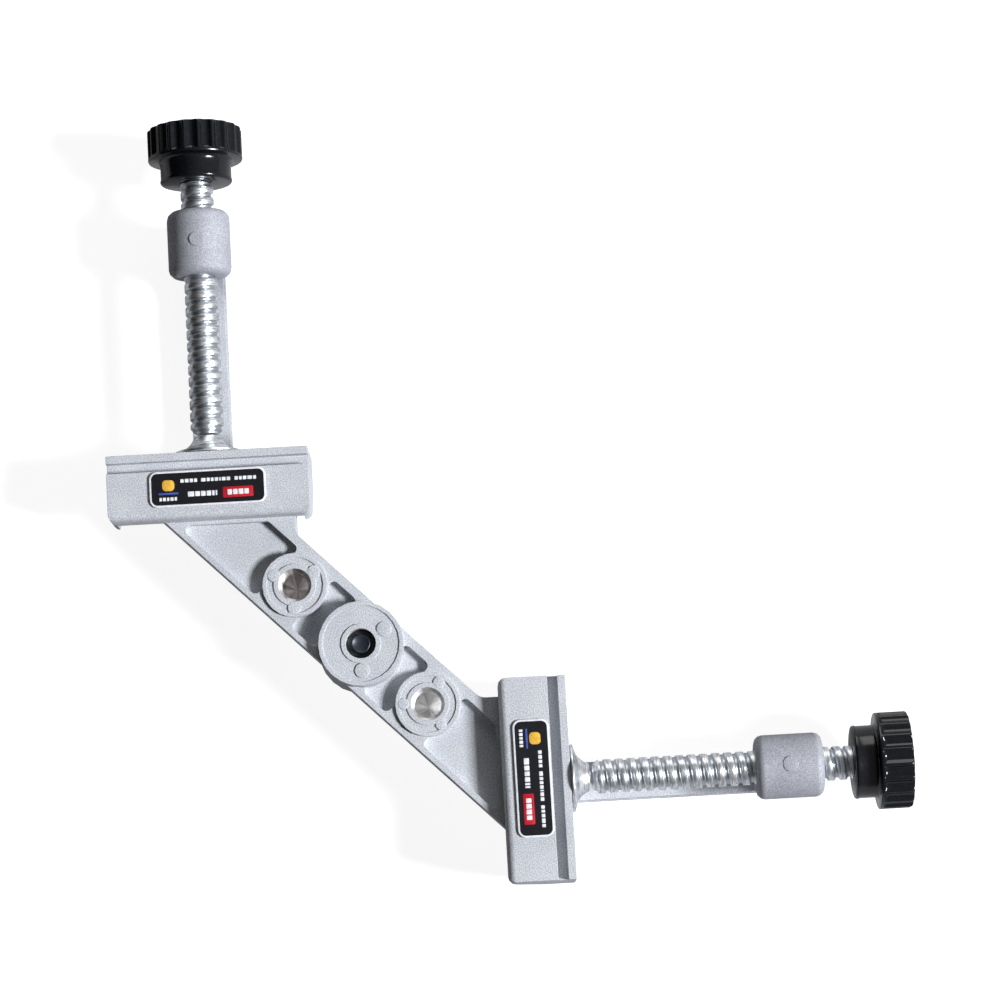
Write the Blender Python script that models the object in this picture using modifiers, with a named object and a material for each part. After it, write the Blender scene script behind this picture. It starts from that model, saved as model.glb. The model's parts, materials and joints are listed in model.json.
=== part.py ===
"""Right-angle tube clamp: a die-cast frame with two screw clamps set at 90 degrees.

The frame is one casting. A diagonal arm carries two jaw blocks, and from under each block a
C-shaped arm runs outwards to a threaded barrel. In each barrel turns a coarse screw, with a
fluted knob on its outer end and a swivel pad on its inner end.

Each clamp is drawn in its own terms: "reach" is the distance outwards along its screw, "side"
is the distance along its jaw, and "height" is the distance above the table. The first clamp
works along +X and the second along +Y. The frame is symmetric about the plane between them.
"""
import math

import bmesh
import bpy
from mathutils import Matrix, Vector

MM = 0.001

# Layout
AXIS_OFFSET = 60 * MM        # from the middle boss to each screw's axis, measured sideways
AXIS_HEIGHT = 38 * MM        # screw axis above the table
SEAT_GAP = 0.3 * MM          # left between two pieces that touch

# Jaw block
JAW_FACE = 83.5 * MM         # reach of the fixed jaw's working face
JAW_DEPTH = 28 * MM          # from the back of the block to its working face
JAW_LENGTH = 84 * MM
JAW_RISE = 12 * MM           # from the screw's axis up to the top of the block
JAW_BOTTOM = 12 * MM
JAW_ROUND = 3.2 * MM         # rounding of the block's back edge and corners
LIP_WIDTH = 3.3 * MM         # wall between the groove and the working face
GROOVE_WIDTH = 4.2 * MM
GROOVE_DEPTH = 4.5 * MM
JAW_PLATE = 8 * MM           # thickness of the working face's plate, below the groove
JAW_SLAB = 10 * MM           # thickness of the top plate, above the open underside
JAW_END_WALL = 3 * MM
END_WALL_HEIGHT = 19 * MM    # height of each end wall at the back, from where it slopes
END_WALL_TOE = 3 * MM        # from the foot of that slope to the jaw's plate

# C-shaped arm below each screw
C_ARM_WIDTH = 16 * MM
C_ARM_DEPTH = 14 * MM        # height of the bar that lies on the table
C_ARM_START = 66 * MM
POST_INNER = 163 * MM        # reach of the post's side that faces the jaw
POST_THICKNESS = 22 * MM
TOE_LENGTH = 7 * MM          # foot that runs out past the post
THROAT_FILLET = 9 * MM
JAW_FILLET = 4 * MM
HEEL_ROUND = 8 * MM
TOE_ROUND = 6 * MM
C_ARM_FLANGE = 3.8 * MM      # edge left around the recess in the arm's sides
C_ARM_WEB = 7 * MM

# Threaded barrel
BARREL_RADIUS = 13.3 * MM
BARREL_OVERHANG = 3 * MM     # barrel standing out from the post, towards the jaw
BARREL_LENGTH = 28 * MM
BARREL_ROUND = 3.4 * MM
POST_SEAT = 3.4 * MM         # how far the post reaches into the barrel's wall

# Diagonal arm
ARM_WIDTH = 33 * MM
ARM_TOP = 41 * MM
ARM_BOTTOM = 23 * MM
ARM_OUTER_RIB = 2.4 * MM     # raised edge on the side away from the work
ARM_INNER_RIB = 3.9 * MM     # raised edge on the side of the work
ARM_WEB = 5 * MM
BAY_DEPTH = 4 * MM           # the bays are the sunk places between the bosses
BAY_ROUND = 2.2 * MM
BAY_SETBACK = 1.5 * MM       # from the jaw block to the nearest bay
LONG_BAY_GAP = 9.3 * MM      # from a small boss's centre to the bay on its outer side
SHORT_BAY_GAP = 10.2 * MM    # and to the bay on its inner side
MIDDLE_BAY_GAP = 13.5 * MM   # from the middle boss's centre to the bays beside it
GUSSET_SIDE = 24.8 * MM      # where the arm's inner edge turns square to the jaw block
GUSSET_FILLET = 5.5 * MM

# Bosses on the arm
BOSS_SPACING = 37.2 * MM
SMALL_BOSS_RADIUS = 13.5 * MM
SMALL_BOSS_TOP = 42.5 * MM
MIDDLE_BOSS_RADIUS = 17.7 * MM
MIDDLE_BOSS_TOP = 46 * MM
MIDDLE_BOSS_DRAFT = 0.9 * MM
BOSS_BOTTOM = 22 * MM
BOSS_RIM = 1.7 * MM
BOSS_SINK = 0.5 * MM         # depth of the ring between rim and collar
COLLAR_WALL = 2 * MM         # collar around each bore
SOCKET_RADIUS = 6.9 * MM
SOCKET_STEP_DEPTH = 3 * MM
SOCKET_LOWER_RADIUS = 5.65 * MM
SOCKET_FLOOR = 28 * MM
DRILL_TIP = 3.4 * MM
PLUG_BORE_RADIUS = 6.25 * MM
PLUG_BORE_DEPTH = 8 * MM
PLUG_HEIGHT = 6 * MM
PLUG_BUTTON_RADIUS = 3.9 * MM
PLUG_BUTTON_HEIGHT = 3 * MM  # of the button above the flat ring round it
PLUG_BUTTON_EDGE = 0.3 * MM
PLUG_DISH = 0.8 * MM         # depth of the hollow in the button's top

# Screw
THREAD_RADIUS = 7 * MM
THREAD_DEPTH = 1.1 * MM
THREAD_PITCH = 5 * MM
THREAD_CREST = 2.7 * MM
THREAD_ROOT = 1.1 * MM
THREAD_CLEARANCE = 0.3 * MM
THREAD_STEPS = 12            # faces in one turn
SCREW_CORE = 4.6 * MM        # radius of the plain rod that the thread is built on
SPIGOT_RADIUS = 5 * MM
SPIGOT_LENGTH = 14 * MM
BALL_RADIUS = 3.4 * MM
SCREW_NECK = 2.5 * MM

# Swivel pad
PAD_RADIUS = 14 * MM
PAD_RIM = 1.3 * MM
PAD_NECK = 5.85 * MM
PAD_FLOOR = 1.1 * MM         # metal left between the ball's socket and the pad's face
PAD_LIP = 0.5 * MM           # straight edge of the neck, closed in over the ball
BALL_CLEARANCE = 0.3 * MM
NECK_CLEARANCE = 0.4 * MM
PAD_CHAMFER = 0.5 * MM       # cut off both edges of the pad's rim
PAD_FLARE = 1 * MM           # first step outwards below the neck
SHOULDER_GAP = 1.6 * MM      # bare neck between the pad and the thread
SHOULDER_STEP = 0.55 * MM    # straight part at each end of that neck

# Knob
KNOB_GAP = 12.4 * MM         # between the barrel and a knob that is turned home
HUB_RADIUS = 15 * MM
HUB_LENGTH = 9.8 * MM
RIM_RADIUS = 20 * MM
RIM_LENGTH = 13.8 * MM
RIM_ROUND = 1.2 * MM
RIM_CHAMFER = 0.6 * MM       # on the rim's edge next to the hub
KNOB_DISH = 1.6 * MM
KNOB_DISH_RADIUS = 13 * MM
FLUTES = 20
FLUTE_RADIUS = 2.6 * MM
FLUTE_DEPTH = 1.5 * MM
FLUTE_LIP = 1.8 * MM         # rim left whole next to the hub

# Badge
BADGE_LENGTH = 48.4 * MM
BADGE_WIDTH = 15 * MM
BADGE_THICKNESS = 0.8 * MM
BADGE_CORNER = 3.3 * MM
BADGE_INSET = 5.1 * MM       # from the back of the jaw block to the badge's edge

# How finely round shapes are cut
ARC_STEPS = 4
EDGE_STEPS = 3
RIM_STEPS = 2
BALL_STEPS = 5
DISH_STEPS = 4
FLUTE_SIDES = 8
BOSS_STEPS = 24
BARREL_STEPS = 24
PAD_STEPS = 24
KNOB_STEPS = 2 * FLUTES
SHARP_ANGLE = math.radians(35)
FLAT_ANGLE = math.radians(0.5)
OVERLAP = 1 * MM             # how far joined shapes reach into each other
PAST = 2 * MM                # how far a cutter runs past the surface that it opens
SPARE_TURNS = 1              # thread wound past each end before it is cut to length
SAME_PLACE = 0.1 * MM        # two places this near count as one
WELD = 0.001 * MM            # points this near are merged

# Places that follow from the sizes above
JAW_BACK = JAW_FACE - JAW_DEPTH
JAW_TOP = AXIS_HEIGHT + JAW_RISE
POST_OUTER = POST_INNER + POST_THICKNESS
C_ARM_END = POST_OUTER + TOE_LENGTH
BARREL_START = POST_INNER - BARREL_OVERHANG
BARREL_END = BARREL_START + BARREL_LENGTH
PAD_FACE = JAW_FACE + SEAT_GAP
SOCKET_SPHERE = BALL_RADIUS + BALL_CLEARANCE
PAD_MOUTH = SCREW_NECK + NECK_CLEARANCE
BALL_CENTRE = PAD_FACE + PAD_FLOOR + SOCKET_SPHERE
PAD_BACK = BALL_CENTRE + math.sqrt(SOCKET_SPHERE**2 - PAD_MOUTH**2) + PAD_LIP
THREAD_START = PAD_BACK + SHOULDER_GAP
KNOB_START = BARREL_END + KNOB_GAP
KNOB_END = KNOB_START + HUB_LENGTH + RIM_LENGTH
JAW_REACH = AXIS_OFFSET + JAW_LENGTH / 2
CENTRE = (KNOB_END - JAW_REACH) / 2      # the part's middle, seen from the middle boss
MIDDLE = Vector((-CENTRE, -CENTRE, 0))   # the middle boss, seen from the part's middle

SIDE_FRAME = Matrix.Translation(MIDDLE + Vector((0, -AXIS_OFFSET, 0)))
AXIS_X = (
    Matrix.Translation(MIDDLE + Vector((0, -AXIS_OFFSET, AXIS_HEIGHT)))
    @ Matrix.Rotation(math.radians(90), 4, "Y")
)
AXIS_Y = (
    Matrix.Translation(MIDDLE + Vector((-AXIS_OFFSET, 0, AXIS_HEIGHT)))
    @ Matrix.Rotation(math.radians(-90), 4, "X")
)
UPRIGHT = Matrix.Rotation(math.radians(90), 4, "X")     # stands an outline up along X and Z


def clear_scene():
    """Remove every object, so the script starts from nothing."""
    for item in list(bpy.data.objects):
        bpy.data.objects.remove(item, do_unlink=True)


def new_collection(name):
    """Make a collection and show it in the scene."""
    collection = bpy.data.collections.new(name)
    bpy.context.scene.collection.children.link(collection)
    return collection


def new_material(name, colour, roughness, metallic):
    """A Principled material of one colour."""
    material = bpy.data.materials.new(name)
    material.use_nodes = True
    shader = material.node_tree.nodes["Principled BSDF"]
    shader.inputs["Base Color"].default_value = (*colour, 1)
    shader.inputs["Roughness"].default_value = roughness
    shader.inputs["Metallic"].default_value = metallic
    return material


def object_from_bmesh(name, shape, placement, collection):
    """Turn a bmesh into an object of its own."""
    mesh = bpy.data.meshes.new(name)
    shape.to_mesh(mesh)
    shape.free()
    item = bpy.data.objects.new(name, mesh)
    item.matrix_world = placement
    collection.objects.link(item)
    return item


def evaluated_bmesh(item):
    """The mesh of an object with its modifiers, as a bmesh with its doubles merged."""
    bpy.context.view_layer.update()
    graph = bpy.context.evaluated_depsgraph_get()
    mesh = bpy.data.meshes.new_from_object(item.evaluated_get(graph))
    shape = bmesh.new()
    shape.from_mesh(mesh)
    bpy.data.meshes.remove(mesh)
    bmesh.ops.remove_doubles(shape, verts=shape.verts, dist=WELD)
    return shape


def rounded_outline(corners, radii):
    """An outline with each corner turned into an arc of its own radius."""
    points = []
    count = len(corners)
    for index, radius in enumerate(radii):
        corner = Vector(corners[index])
        if radius <= 0:
            points.append(corner)
            continue
        before = (Vector(corners[index - 1]) - corner).normalized()
        after = (Vector(corners[(index + 1) % count]) - corner).normalized()
        half_angle = before.angle(after) / 2
        reach = radius / math.tan(half_angle)
        centre = corner + (before + after).normalized() * radius / math.sin(half_angle)
        first = corner + before * reach - centre
        last = corner + after * reach - centre
        for step in range(ARC_STEPS + 1):
            spoke = first.lerp(last, step / ARC_STEPS).normalized()
            points.append(centre + spoke * radius)
    return points


def inset_outline(corners, radii, distance):
    """The same outline, counter-clockwise, with every edge moved inwards."""
    moved = []
    moved_radii = []
    count = len(corners)
    for index, radius in enumerate(radii):
        corner = Vector(corners[index])
        arriving = (corner - Vector(corners[index - 1])).normalized()
        leaving = (Vector(corners[(index + 1) % count]) - corner).normalized()
        normal = Vector((-arriving.y, arriving.x))
        bisector = (normal + Vector((-leaving.y, leaving.x))).normalized()
        moved.append(corner + bisector * distance / bisector.dot(normal))
        turns_left = arriving.cross(leaving) > 0
        change = -distance if turns_left else distance
        moved_radii.append(max(radius + change, 0) if radius else 0)
    return rounded_outline(moved, moved_radii)


def extruded(name, outline, thickness, placement, collection):
    """A flat outline given a thickness, half of it on either side."""
    curve = bpy.data.curves.new(name, "CURVE")
    curve.dimensions = "2D"
    curve.fill_mode = "BOTH"
    curve.extrude = thickness / 2
    spline = curve.splines.new("POLY")
    spline.points.add(len(outline) - 1)
    for point, place in zip(spline.points, outline):
        point.co = (place[0], place[1], 0, 1)
    spline.use_cyclic_u = True
    drawn = bpy.data.objects.new(name + "_outline", curve)
    collection.objects.link(drawn)
    shape = evaluated_bmesh(drawn)
    bpy.data.objects.remove(drawn)
    bmesh.ops.recalc_face_normals(shape, faces=shape.faces)
    bmesh.ops.dissolve_limit(
        shape, angle_limit=FLAT_ANGLE, verts=shape.verts, edges=shape.edges
    )
    return object_from_bmesh(name, shape, placement, collection)


def turned(name, profile, steps, placement, collection):
    """A turned shape from (radius, height) points that run down its outer side."""
    shape = bmesh.new()
    points = [shape.verts.new((radius, 0, height)) for radius, height in profile]
    for upper, lower in zip(points, points[1:]):
        shape.edges.new((upper, lower))
    item = object_from_bmesh(name, shape, placement, collection)
    turning = item.modifiers.new("turn", "SCREW")
    turning.steps = steps
    turning.render_steps = steps
    turning.use_merge_vertices = True
    turning.merge_threshold = 10 * WELD
    return item


def arc_points(centre, radius, first_degrees, last_degrees, steps):
    """Points on an arc in the plane of a turned profile."""
    points = []
    for step in range(steps + 1):
        angle = math.radians(first_degrees + (last_degrees - first_degrees) * step / steps)
        points.append(
            (centre[0] + radius * math.cos(angle), centre[1] + radius * math.sin(angle))
        )
    return points


def box(name, low, high, placement, collection):
    """A box between two corners."""
    low = Vector(low)
    high = Vector(high)
    size = high - low
    shape = bmesh.new()
    place = Matrix.Translation((low + high) / 2) @ Matrix.Diagonal((*size, 1))
    bmesh.ops.create_cube(shape, size=1, matrix=place)
    return object_from_bmesh(name, shape, placement, collection)


def shape_with(item, tool, operation, tools, solver="EXACT"):
    """Join a shape to an object or cut it away, and put the tool out of sight."""
    step = item.modifiers.new(tool.name, "BOOLEAN")
    step.operation = operation
    step.solver = solver
    step.object = tool
    tool.hide_render = True
    tool.display_type = "WIRE"
    for collection in list(tool.users_collection):
        collection.objects.unlink(tool)
    tools.objects.link(tool)


def smooth_round_faces(item):
    """Shade a mesh smooth, except over its sharp edges."""
    item.data.shade_smooth()
    item.data.set_sharp_from_angle(angle=SHARP_ANGLE)


def thread_profile(clearance):
    """One pitch of the thread, as (radius, height), grown all round by a clearance."""
    crest = THREAD_CREST / 2 + clearance
    root = THREAD_ROOT / 2 - clearance
    outer = THREAD_RADIUS + clearance
    inner = THREAD_RADIUS - THREAD_DEPTH + clearance
    half = THREAD_PITCH / 2
    return [
        (inner, root),
        (inner, -root),
        (outer, crest - half),
        (outer, -crest - half),
        (inner, root - THREAD_PITCH),
    ]


def thread_solid(name, low, high, clearance, placement, collection):
    """A right-hand thread between two heights, cut off square at both ends."""
    first_turn = math.floor(low / THREAD_PITCH) - SPARE_TURNS
    turns = math.ceil(high / THREAD_PITCH) - first_turn + 2 * SPARE_TURNS
    shape = bmesh.new()
    points = []
    for radius, height in thread_profile(clearance):
        points.append(shape.verts.new((radius, 0, height + first_turn * THREAD_PITCH)))
    for upper, lower in zip(points, points[1:]):
        shape.edges.new((upper, lower))
    blank = object_from_bmesh(name + "_blank", shape, Matrix.Identity(4), collection)
    winding = blank.modifiers.new("wind", "SCREW")
    winding.steps = THREAD_STEPS
    winding.render_steps = THREAD_STEPS
    winding.screw_offset = THREAD_PITCH
    winding.iterations = turns
    winding.use_merge_vertices = False
    wound = evaluated_bmesh(blank)
    bpy.data.objects.remove(blank)
    for height, outwards in ((low, -1), (high, 1)):
        bmesh.ops.bisect_plane(
            wound,
            geom=wound.verts[:] + wound.edges[:] + wound.faces[:],
            plane_co=(0, 0, height),
            plane_no=(0, 0, outwards),
            clear_outer=True,
            dist=WELD,
        )
    bmesh.ops.holes_fill(wound, edges=[edge for edge in wound.edges if edge.is_boundary])
    bmesh.ops.recalc_face_normals(wound, faces=wound.faces)
    return object_from_bmesh(name, wound, placement, collection)


def jaw_block(parts):
    """The block behind the fixed jaw, with its back edge and corners rounded."""
    half = JAW_LENGTH / 2
    block = box(
        "frame_casting",
        (JAW_BACK, -half, JAW_BOTTOM),
        (JAW_FACE, half, JAW_TOP),
        SIDE_FRAME,
        parts,
    )
    shape = bmesh.new()
    shape.from_mesh(block.data)
    edges = []
    for edge in shape.edges:
        ends = [vertex.co for vertex in edge.verts]
        at_back = all(abs(end.x - JAW_BACK) < SAME_PLACE for end in ends)
        upright = abs(ends[0].z - ends[1].z) > SAME_PLACE
        on_top = all(abs(end.z - JAW_TOP) < SAME_PLACE for end in ends)
        if at_back and (upright or on_top):
            edges.append(edge)
    bmesh.ops.bevel(
        shape,
        geom=edges,
        offset=JAW_ROUND,
        segments=EDGE_STEPS,
        profile=0.5,
        affect="EDGES",
        material=-1,
    )
    shape.to_mesh(block.data)
    shape.free()
    return block


def hollow_the_block(block, tools):
    """Cut the groove behind the lip, and open the block at the back, below its top plate."""
    half = JAW_LENGTH / 2
    groove = box(
        "lip_groove",
        (JAW_FACE - LIP_WIDTH - GROOVE_WIDTH, -half - PAST, JAW_TOP - GROOVE_DEPTH),
        (JAW_FACE - LIP_WIDTH, half + PAST, JAW_TOP + PAST),
        SIDE_FRAME,
        tools,
    )
    shape_with(block, groove, "DIFFERENCE", tools)
    far = half - JAW_END_WALL
    hollow = box(
        "block_hollow",
        (JAW_BACK - PAST, -far, JAW_BOTTOM - PAST),
        (JAW_FACE - JAW_PLATE, far, JAW_TOP - JAW_SLAB),
        SIDE_FRAME,
        tools,
    )
    shape_with(block, hollow, "DIFFERENCE", tools)
    below = JAW_BOTTOM - PAST
    slope = [
        (JAW_BACK - PAST, JAW_TOP - END_WALL_HEIGHT),
        (JAW_BACK - PAST, below),
        (JAW_FACE - JAW_PLATE - END_WALL_TOE, below),
    ]
    wedge = extruded(
        "end_wall_slope", slope, JAW_LENGTH + 2 * PAST, SIDE_FRAME @ UPRIGHT, tools
    )
    shape_with(block, wedge, "DIFFERENCE", tools)


def c_arm(tools):
    """The arm below a screw: an I-section that lies on the table and rises to the barrel."""
    inside_block = JAW_FACE - SEAT_GAP
    post_top = AXIS_HEIGHT - BARREL_RADIUS + POST_SEAT
    corners = [
        (C_ARM_START, 0),
        (C_ARM_END, 0),
        (POST_OUTER, post_top),
        (POST_INNER, post_top),
        (POST_INNER, C_ARM_DEPTH),
        (inside_block, C_ARM_DEPTH),
        (inside_block, JAW_TOP - JAW_SLAB + OVERLAP),
        (C_ARM_START, JAW_TOP - JAW_SLAB + OVERLAP),
    ]
    radii = [TOE_ROUND, HEEL_ROUND, 0, 0, THROAT_FILLET, JAW_FILLET, 0, 0]
    standing = SIDE_FRAME @ UPRIGHT
    arm = extruded("c_arm", rounded_outline(corners, radii), C_ARM_WIDTH, standing, tools)
    recess_outline = inset_outline(corners, radii, C_ARM_FLANGE)
    recess_depth = (C_ARM_WIDTH - C_ARM_WEB) / 2
    for name, direction in (("front", 1), ("back", -1)):
        middle = direction * (C_ARM_WIDTH / 2 - recess_depth + (recess_depth + PAST) / 2)
        recess = extruded(
            "c_arm_recess_" + name,
            recess_outline,
            recess_depth + PAST,
            standing @ Matrix.Translation((0, 0, middle)),
            tools,
        )
        shape_with(arm, recess, "DIFFERENCE", tools)
    return arm


def barrel(name, axis, tools):
    """The nut that the screw turns in, tapped with the same right-hand thread."""
    inner_radius = BARREL_RADIUS - BARREL_ROUND
    outer_corner = (inner_radius, BARREL_END - BARREL_ROUND)
    inner_corner = (inner_radius, BARREL_START + BARREL_ROUND)
    profile = [(0, BARREL_END)]
    profile += arc_points(outer_corner, BARREL_ROUND, 90, 0, EDGE_STEPS)
    profile += arc_points(inner_corner, BARREL_ROUND, 0, -90, EDGE_STEPS)
    profile.append((0, BARREL_START))
    nut = turned(name, profile, BARREL_STEPS, axis, tools)
    tap = thread_solid(
        name + "_tap", BARREL_START - PAST, BARREL_END + PAST, THREAD_CLEARANCE, axis, tools
    )
    shape_with(nut, tap, "DIFFERENCE", tools)
    return nut


def diagonal_arm(tools):
    """The arm between the jaw blocks, with bays between its bosses and a long hollow below."""
    across = ARM_WIDTH / math.sqrt(2)
    end = JAW_FACE - JAW_PLATE + OVERLAP
    corners = [
        (-across - end, end),
        (end, -across - end),
        (end, -GUSSET_SIDE),
        (across + GUSSET_SIDE, -GUSSET_SIDE),
        (-GUSSET_SIDE, across + GUSSET_SIDE),
        (-GUSSET_SIDE, end),
    ]
    radii = [0, 0, 0, GUSSET_FILLET, GUSSET_FILLET, 0]
    middle = Matrix.Translation(MIDDLE + Vector((0, 0, (ARM_TOP + ARM_BOTTOM) / 2)))
    arm = extruded(
        "diagonal_arm", rounded_outline(corners, radii), ARM_TOP - ARM_BOTTOM, middle, tools
    )
    outer = ARM_OUTER_RIB - ARM_WIDTH / 2
    inner = ARM_WIDTH / 2 - ARM_INNER_RIB
    to_block = math.sqrt(2) * (JAW_BACK - BAY_SETBACK)
    floor = ARM_TOP - BAY_DEPTH
    for name, direction in (("near_y", -1), ("near_x", 1)):
        long_start = direction * (BOSS_SPACING + LONG_BAY_GAP)
        long_bay = [
            (direction * (to_block - outer), outer),
            (long_start, outer),
            (long_start, inner),
            (direction * (to_block - inner), inner),
        ]
        short_start = direction * MIDDLE_BAY_GAP
        short_end = direction * (BOSS_SPACING - SHORT_BAY_GAP)
        short_bay = [
            (short_start, outer),
            (short_end, outer),
            (short_end, inner),
            (short_start, inner),
        ]
        for kind, bay in (("long_bay_", long_bay), ("short_bay_", short_bay)):
            cutter = sunk(kind + name, bay, floor, ARM_TOP + PAST, tools)
            shape_with(arm, cutter, "DIFFERENCE", tools)
    hollow = [
        (outer - to_block, outer),
        (to_block - outer, outer),
        (to_block - inner, inner),
        (inner - to_block, inner),
    ]
    below = sunk("arm_hollow", hollow, ARM_BOTTOM - PAST, floor - ARM_WEB, tools)
    shape_with(arm, below, "DIFFERENCE", tools)
    return arm


def sunk(name, corners, low, high, tools):
    """Cutter with round corners, drawn along and across the diagonal arm."""
    diagonal = Matrix.Translation(MIDDLE) @ Matrix.Rotation(math.radians(-45), 4, "Z")
    place = diagonal @ Matrix.Translation((0, 0, (low + high) / 2))
    outline = rounded_outline(corners, [BAY_ROUND] * len(corners))
    return extruded(name, outline, high - low, place, tools)


def boss(name, radius, foot_radius, bore_radius, top, along, tools):
    """A boss before drilling: collar, sunk ring, rim and side, turned in one profile."""
    collar = bore_radius + COLLAR_WALL
    profile = [
        (0, top),
        (collar, top),
        (collar, top - BOSS_SINK),
        (radius - BOSS_RIM, top - BOSS_SINK),
        (radius - BOSS_RIM, top),
        (radius, top),
        (foot_radius, BOSS_BOTTOM),
        (0, BOSS_BOTTOM),
    ]
    return turned(name, profile, BOSS_STEPS, boss_place(along), tools)


def boss_place(along):
    """Where a boss stands: its distance from the middle boss, along the diagonal arm."""
    return Matrix.Translation(MIDDLE + Vector((along, -along, 0)) / math.sqrt(2))


def socket_drill(name, along, tools):
    """Cutter for a small boss's stepped socket, with the cone that a drill leaves."""
    step_height = SMALL_BOSS_TOP - SOCKET_STEP_DEPTH
    profile = [
        (0, SMALL_BOSS_TOP + PAST),
        (SOCKET_RADIUS, SMALL_BOSS_TOP + PAST),
        (SOCKET_RADIUS, step_height),
        (SOCKET_LOWER_RADIUS, step_height),
        (SOCKET_LOWER_RADIUS, SOCKET_FLOOR),
        (0, SOCKET_FLOOR - DRILL_TIP),
    ]
    return turned(name, profile, BOSS_STEPS, boss_place(along), tools)


def plug_drill(tools):
    """Cutter for the flat-bottomed bore that holds the plug."""
    floor = MIDDLE_BOSS_TOP - PLUG_BORE_DEPTH
    profile = [
        (0, MIDDLE_BOSS_TOP + PAST),
        (PLUG_BORE_RADIUS, MIDDLE_BOSS_TOP + PAST),
        (PLUG_BORE_RADIUS, floor),
        (0, floor),
    ]
    return turned("plug_drill", profile, BOSS_STEPS, boss_place(0), tools)


def add_bosses(frame, tools):
    """Join the three bosses to the arm and drill them."""
    for name, along in (("near_y", -BOSS_SPACING), ("near_x", BOSS_SPACING)):
        small = boss(
            "boss_" + name,
            SMALL_BOSS_RADIUS,
            SMALL_BOSS_RADIUS,
            SOCKET_RADIUS,
            SMALL_BOSS_TOP,
            along,
            tools,
        )
        shape_with(frame, small, "UNION", tools)
        shape_with(frame, socket_drill("socket_" + name, along, tools), "DIFFERENCE", tools)
    middle = boss(
        "boss_middle",
        MIDDLE_BOSS_RADIUS,
        MIDDLE_BOSS_RADIUS + MIDDLE_BOSS_DRAFT,
        PLUG_BORE_RADIUS,
        MIDDLE_BOSS_TOP,
        0,
        tools,
    )
    shape_with(frame, middle, "UNION", tools)
    shape_with(frame, plug_drill(tools), "DIFFERENCE", tools)


def frame_casting(parts, tools, material):
    """The whole casting: one clamp is modelled, mirrored, and joined by the diagonal arm."""
    frame = jaw_block(parts)
    hollow_the_block(frame, tools)
    shape_with(frame, c_arm(tools), "UNION", tools)
    mirror_plane = bpy.data.objects.new("mirror_plane", None)
    mirror_plane.matrix_world = (
        Matrix.Translation(MIDDLE) @ Matrix.Rotation(math.radians(-45), 4, "Z")
    )
    tools.objects.link(mirror_plane)
    mirror = frame.modifiers.new("second_clamp", "MIRROR")
    mirror.mirror_object = mirror_plane
    mirror.use_mirror_merge = False
    shape_with(frame, diagonal_arm(tools), "UNION", tools)
    add_bosses(frame, tools)
    for name, axis in (("barrel_x", AXIS_X), ("barrel_y", AXIS_Y)):
        shape_with(frame, barrel(name, axis, tools), "UNION", tools, solver="MANIFOLD")
    smooth_round_faces(frame)
    frame.data.materials.append(material)
    return frame


def clamp_screw(name, axis, parts, tools, material):
    """The spindle: a rolled thread on a rod with a ball at one end and a spigot at the other."""
    screw = thread_solid(name, THREAD_START, KNOB_START - SEAT_GAP, 0, axis, parts)
    spigot_end = KNOB_START + SPIGOT_LENGTH - SEAT_GAP
    neck_angle = math.degrees(math.acos(SCREW_NECK / BALL_RADIUS))
    profile = [
        (0, spigot_end),
        (SPIGOT_RADIUS, spigot_end),
        (SPIGOT_RADIUS, KNOB_START - OVERLAP),
        (SCREW_CORE, KNOB_START - OVERLAP),
        (SCREW_CORE, THREAD_START - SHOULDER_STEP),
        (SCREW_NECK, PAD_BACK + SHOULDER_STEP),
    ]
    profile += arc_points((0, BALL_CENTRE), BALL_RADIUS, neck_angle, -90, BALL_STEPS)
    rod = turned(name + "_rod", profile, THREAD_STEPS, axis, tools)
    shape_with(screw, rod, "UNION", tools)
    smooth_round_faces(screw)
    screw.data.materials.append(material)
    return screw


def swivel_pad(name, axis, parts, material):
    """The pad: a flat disc, coned up to a neck that is closed in over the screw's ball."""
    mouth_angle = math.degrees(math.acos(PAD_MOUTH / SOCKET_SPHERE))
    profile = arc_points((0, BALL_CENTRE), SOCKET_SPHERE, -90, mouth_angle, BALL_STEPS)
    profile += [
        (PAD_MOUTH, PAD_BACK),
        (PAD_NECK, PAD_BACK),
        (PAD_NECK + PAD_FLARE, PAD_BACK - PAD_RIM),
        (PAD_RADIUS - PAD_CHAMFER, PAD_FACE + PAD_RIM),
        (PAD_RADIUS, PAD_FACE + PAD_RIM - PAD_CHAMFER),
        (PAD_RADIUS, PAD_FACE + PAD_CHAMFER),
        (PAD_RADIUS - PAD_CHAMFER, PAD_FACE),
        (0, PAD_FACE),
    ]
    pad = turned(name, profile, PAD_STEPS, axis, parts)
    smooth_round_faces(pad)
    pad.data.materials.append(material)
    return pad


def flute_cutters(name, axis, tools):
    """Round cutters set in a ring just outside the knob's rim."""
    start = KNOB_START + HUB_LENGTH + FLUTE_LIP
    finish = KNOB_END + PAST
    ring = RIM_RADIUS + FLUTE_RADIUS - FLUTE_DEPTH
    shape = bmesh.new()
    for index in range(FLUTES):
        turn = Matrix.Rotation(math.tau * index / FLUTES, 4, "Z")
        place = turn @ Matrix.Translation((ring, 0, (start + finish) / 2))
        bmesh.ops.create_cone(
            shape,
            cap_ends=True,
            segments=FLUTE_SIDES,
            radius1=FLUTE_RADIUS,
            radius2=FLUTE_RADIUS,
            depth=finish - start,
            matrix=place,
        )
    return object_from_bmesh(name, shape, axis, tools)


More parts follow.
